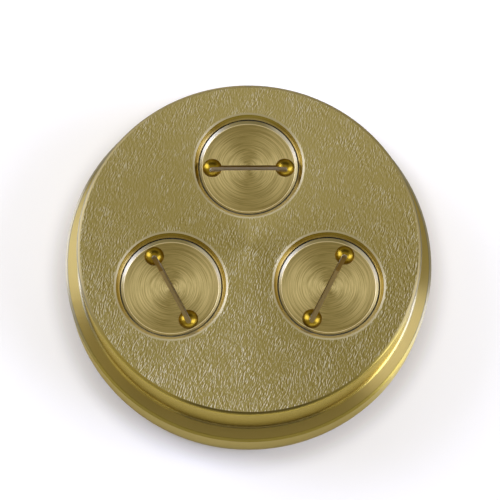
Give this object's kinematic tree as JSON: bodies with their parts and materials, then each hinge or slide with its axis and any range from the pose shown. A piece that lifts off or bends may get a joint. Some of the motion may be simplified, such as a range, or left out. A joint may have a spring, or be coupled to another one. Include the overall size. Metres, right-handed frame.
{
  "type": "pasta extrusion die",
  "caption": "Round brass pasta die: a flanged body with seated inserts, each with a narrow slot between ball-milled ends that shapes ribbon with ruffled edges.",
  "frame": {"origin": "centre of the inlet face, on the die axis", "axes": "+Z along the die axis from the inlet face to the outlet face, +Y towards the upper insert"},
  "size_m": [0.057, 0.057, 0.015],
  "materials": {
    "body_brass": "grained outlet face, turned satin sides",
    "insert_brass": "fine concentric turning marks"
  },
  "bodies": {
    "root": {"die_body": "body_brass", "upper_insert": "insert_brass", "left_insert": "insert_brass", "right_insert": "insert_brass"}
  },
  "joints": []
}
